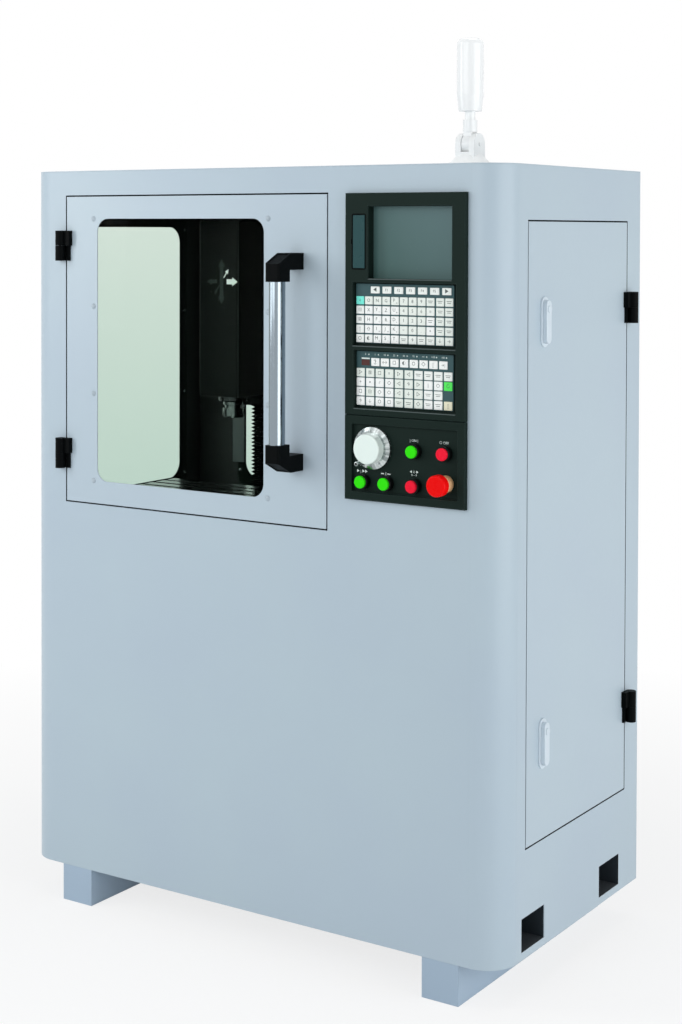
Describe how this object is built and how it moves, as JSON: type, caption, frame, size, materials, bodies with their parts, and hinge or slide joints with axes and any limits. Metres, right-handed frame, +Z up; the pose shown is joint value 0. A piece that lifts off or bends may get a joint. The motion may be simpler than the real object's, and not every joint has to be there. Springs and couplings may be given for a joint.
{
  "type": "cnc machining center",
  "caption": "Enclosed vertical milling machine: rounded cabinet on two feet, windowed door, handle, dark control panel, side door and signal lamp.",
  "frame": {"origin": "centre of the bounding box at floor level, under the feet", "axes": "+Z up, -Y out of the front door, +X to the operator's right"},
  "size_m": [1.2017, 0.698, 1.837],
  "materials": {
    "sheet_paint": "satin light blue-grey powder coat",
    "inner_paint": "satin grey-blue powder coat",
    "casting_paint": "light grey machine enamel, ways ground bare",
    "head_paint": "satin grey enamel",
    "ground_steel": "ground",
    "handle_chrome": "polished",
    "wheel_metal": "fine turned, clear anodised",
    "screw_steel": "zinc plated",
    "hinge_black": "satin black",
    "latch_grey": "satin light grey die cast",
    "panel_dark": "fine grained dark green-black",
    "key_mat": "embossed membrane",
    "screen_glass": "gloss",
    "window_tint": "pale green tinted, clear",
    "black_plastic": "satin black",
    "green_cap": "gloss",
    "red_cap": "gloss",
    "collar_yellow": "satin",
    "stem_plastic": "satin",
    "lamp_white": "milky white diffuser",
    "lamp_grey": "satin light grey",
    "rubber_black": "matt",
    "motor_black": "satin black",
    "gear_grey": "satin grey housings"
  },
  "bodies": {
    "cabinet": {"foot_rails": "inner_paint", "base_pan": "sheet_paint", "fork_tubes": "sheet_paint", "front_shell": "sheet_paint", "left_panel": "sheet_paint", "right_panel": "sheet_paint", "rear_panel": "sheet_paint", "top_panel": "sheet_paint", "partition": "inner_paint", "door_rebates": "inner_paint", "door_seals": "rubber_black", "side_windows": "window_tint", "chip_tray": "inner_paint", "pedestal": "inner_paint", "bed": "casting_paint", "column": "casting_paint", "axis_motors": "motor_black", "electrical_gear": "gear_grey", "panel_frame": "panel_dark", "screen": "screen_glass", "keypads": "key_mat", "operator_panel": "panel_dark", "button_bezels": "black_plastic", "estop_collar": "collar_yellow", "lamp_base": "lamp_grey", "frame_hinges": "hinge_black", "z_bellows": "rubber_black"},
    "front_door_leaf": {"front_door": "sheet_paint", "door_window": "window_tint", "door_screws": "screw_steel", "handle_tube": "handle_chrome", "handle_brackets": "hinge_black", "front_door_hinges": "hinge_black"},
    "side_door_leaf": {"side_door": "sheet_paint", "side_door_hinges": "hinge_black", "latch_plates": "latch_grey"},
    "upper_latch": {"upper_latch": "latch_grey"},
    "lower_latch": {"lower_latch": "latch_grey"},
    "saddle_slide": {"saddle": "casting_paint", "x_motor": "motor_black"},
    "table_slide": {"table": "ground_steel"},
    "x_screw": {"x_screw": "ground_steel"},
    "y_screw": {"y_screw": "ground_steel"},
    "z_screw": {"z_screw": "ground_steel"},
    "head_slide": {"head": "casting_paint", "head_cover": "head_paint", "spindle_motor": "motor_black"},
    "spindle_rotor": {"spindle": "ground_steel", "tool_holder": "ground_steel"},
    "handwheel": {"handwheel": "wheel_metal"},
    "crank_knob": {"crank_knob": "wheel_metal"},
    "on_button": {"on_button": "green_cap"},
    "off_button": {"off_button": "red_cap"},
    "start_button": {"start_button": "green_cap"},
    "hold_button": {"hold_button": "green_cap"},
    "release_button": {"release_button": "red_cap"},
    "estop_stem": {"estop_stem": "stem_plastic"},
    "estop_head": {"estop_head": "red_cap"},
    "lamp_body": {"lamp_body": "lamp_white"},
    "port_cover": {"port_cover": "panel_dark"}
  },
  "joints": [
    {"name": "front_door_hinge", "type": "hinge", "parent": "cabinet", "child": "front_door_leaf", "pos_m": [-0.498, -0.275, 1.203], "axis": [0, 0, -1], "range_deg": [0, 110]},
    {"name": "side_door_hinge", "type": "hinge", "parent": "cabinet", "child": "side_door_leaf", "pos_m": [0.59, 0.292, 0.884], "axis": [0, 0, 1], "range_deg": [0, 110]},
    {"name": "upper_latch_turn", "type": "hinge", "parent": "side_door_leaf", "child": "upper_latch", "pos_m": [0.579, -0.097, 1.3115], "axis": [1, 0, 0], "range_deg": [0, 90]},
    {"name": "lower_latch_turn", "type": "hinge", "parent": "side_door_leaf", "child": "lower_latch", "pos_m": [0.579, -0.097, 0.4985], "axis": [1, 0, 0], "range_deg": [0, 90]},
    {"name": "y_slide", "type": "slide", "parent": "cabinet", "child": "saddle_slide", "axis": [0, 1, 0], "range_m": [-0.06, 0.055]},
    {"name": "x_slide", "type": "slide", "parent": "saddle_slide", "child": "table_slide", "axis": [1, 0, 0], "range_m": [-0.11, 0.11]},
    {"name": "z_slide", "type": "slide", "parent": "cabinet", "child": "head_slide", "axis": [0, 0, 1], "range_m": [-0.115, 0.095], "deforming": ["z_bellows"]},
    {"name": "x_screw_turn", "type": "hinge", "parent": "saddle_slide", "child": "x_screw", "pos_m": [-0.217, -0.024, 0.8], "axis": [1, 0, 0], "range_deg": [-7921, 7921]},
    {"name": "y_screw_turn", "type": "hinge", "parent": "cabinet", "child": "y_screw", "pos_m": [-0.217, -0.024, 0.726], "axis": [0, 1, 0], "range_deg": [-4321, 3961]},
    {"name": "z_screw_turn", "type": "hinge", "parent": "cabinet", "child": "z_screw", "pos_m": [-0.217, 0.182, 1.1], "axis": [0, 0, 1], "range_deg": [-8281, 6841]},
    {"name": "spindle_spin", "type": "hinge", "parent": "head_slide", "child": "spindle_rotor", "pos_m": [-0.217, -0.024, 1.08], "axis": [0, 0, 1], "continuous": true},
    {"name": "handwheel_spin", "type": "hinge", "parent": "cabinet", "child": "handwheel", "pos_m": [0.301, -0.274, 1.0425], "axis": [0, -1, 0], "continuous": true},
    {"name": "crank_spin", "type": "hinge", "parent": "handwheel", "child": "crank_knob", "pos_m": [0.28298, -0.284, 1.01367], "axis": [0, -1, 0], "continuous": true},
    {"name": "on_button_press", "type": "slide", "parent": "cabinet", "child": "on_button", "axis": [0, 1, 0], "range_m": [0, 0.0035], "stiffness_N_per_m": 800, "springref_m": -0.001},
    {"name": "off_button_press", "type": "slide", "parent": "cabinet", "child": "off_button", "axis": [0, 1, 0], "range_m": [0, 0.0035], "stiffness_N_per_m": 800, "springref_m": -0.001},
    {"name": "start_button_press", "type": "slide", "parent": "cabinet", "child": "start_button", "axis": [0, 1, 0], "range_m": [0, 0.0035], "stiffness_N_per_m": 800, "springref_m": -0.001},
    {"name": "hold_button_press", "type": "slide", "parent": "cabinet", "child": "hold_button", "axis": [0, 1, 0], "range_m": [0, 0.0035], "stiffness_N_per_m": 800, "springref_m": -0.001},
    {"name": "release_button_press", "type": "slide", "parent": "cabinet", "child": "release_button", "axis": [0, 1, 0], "range_m": [0, 0.0035], "stiffness_N_per_m": 800, "springref_m": -0.001},
    {"name": "estop_press", "type": "slide", "parent": "cabinet", "child": "estop_stem", "axis": [0, 1, 0], "range_m": [0, 0.005]},
    {"name": "estop_twist", "type": "hinge", "parent": "estop_stem", "child": "estop_head", "pos_m": [0.462, -0.294, 0.9855], "axis": [0, -1, 0], "range_deg": [0, 45]},
    {"name": "lamp_fold", "type": "hinge", "parent": "cabinet", "child": "lamp_body", "pos_m": [0.425, -0.114, 1.63], "axis": [-1, 0, 0], "range_deg": [0, 90]},
    {"name": "port_cover_hinge", "type": "hinge", "parent": "cabinet", "child": "port_cover", "pos_m": [0.2814, -0.272, 1.44], "axis": [0, 0, 1], "range_deg": [0, 95]}
  ],
  "couplings": [
    {"joint": "x_screw_turn", "follows": "x_slide", "rad_per_m": 1256.6},
    {"joint": "y_screw_turn", "follows": "y_slide", "rad_per_m": 1256.6},
    {"joint": "z_screw_turn", "follows": "z_slide", "rad_per_m": 1256.6}
  ]
}
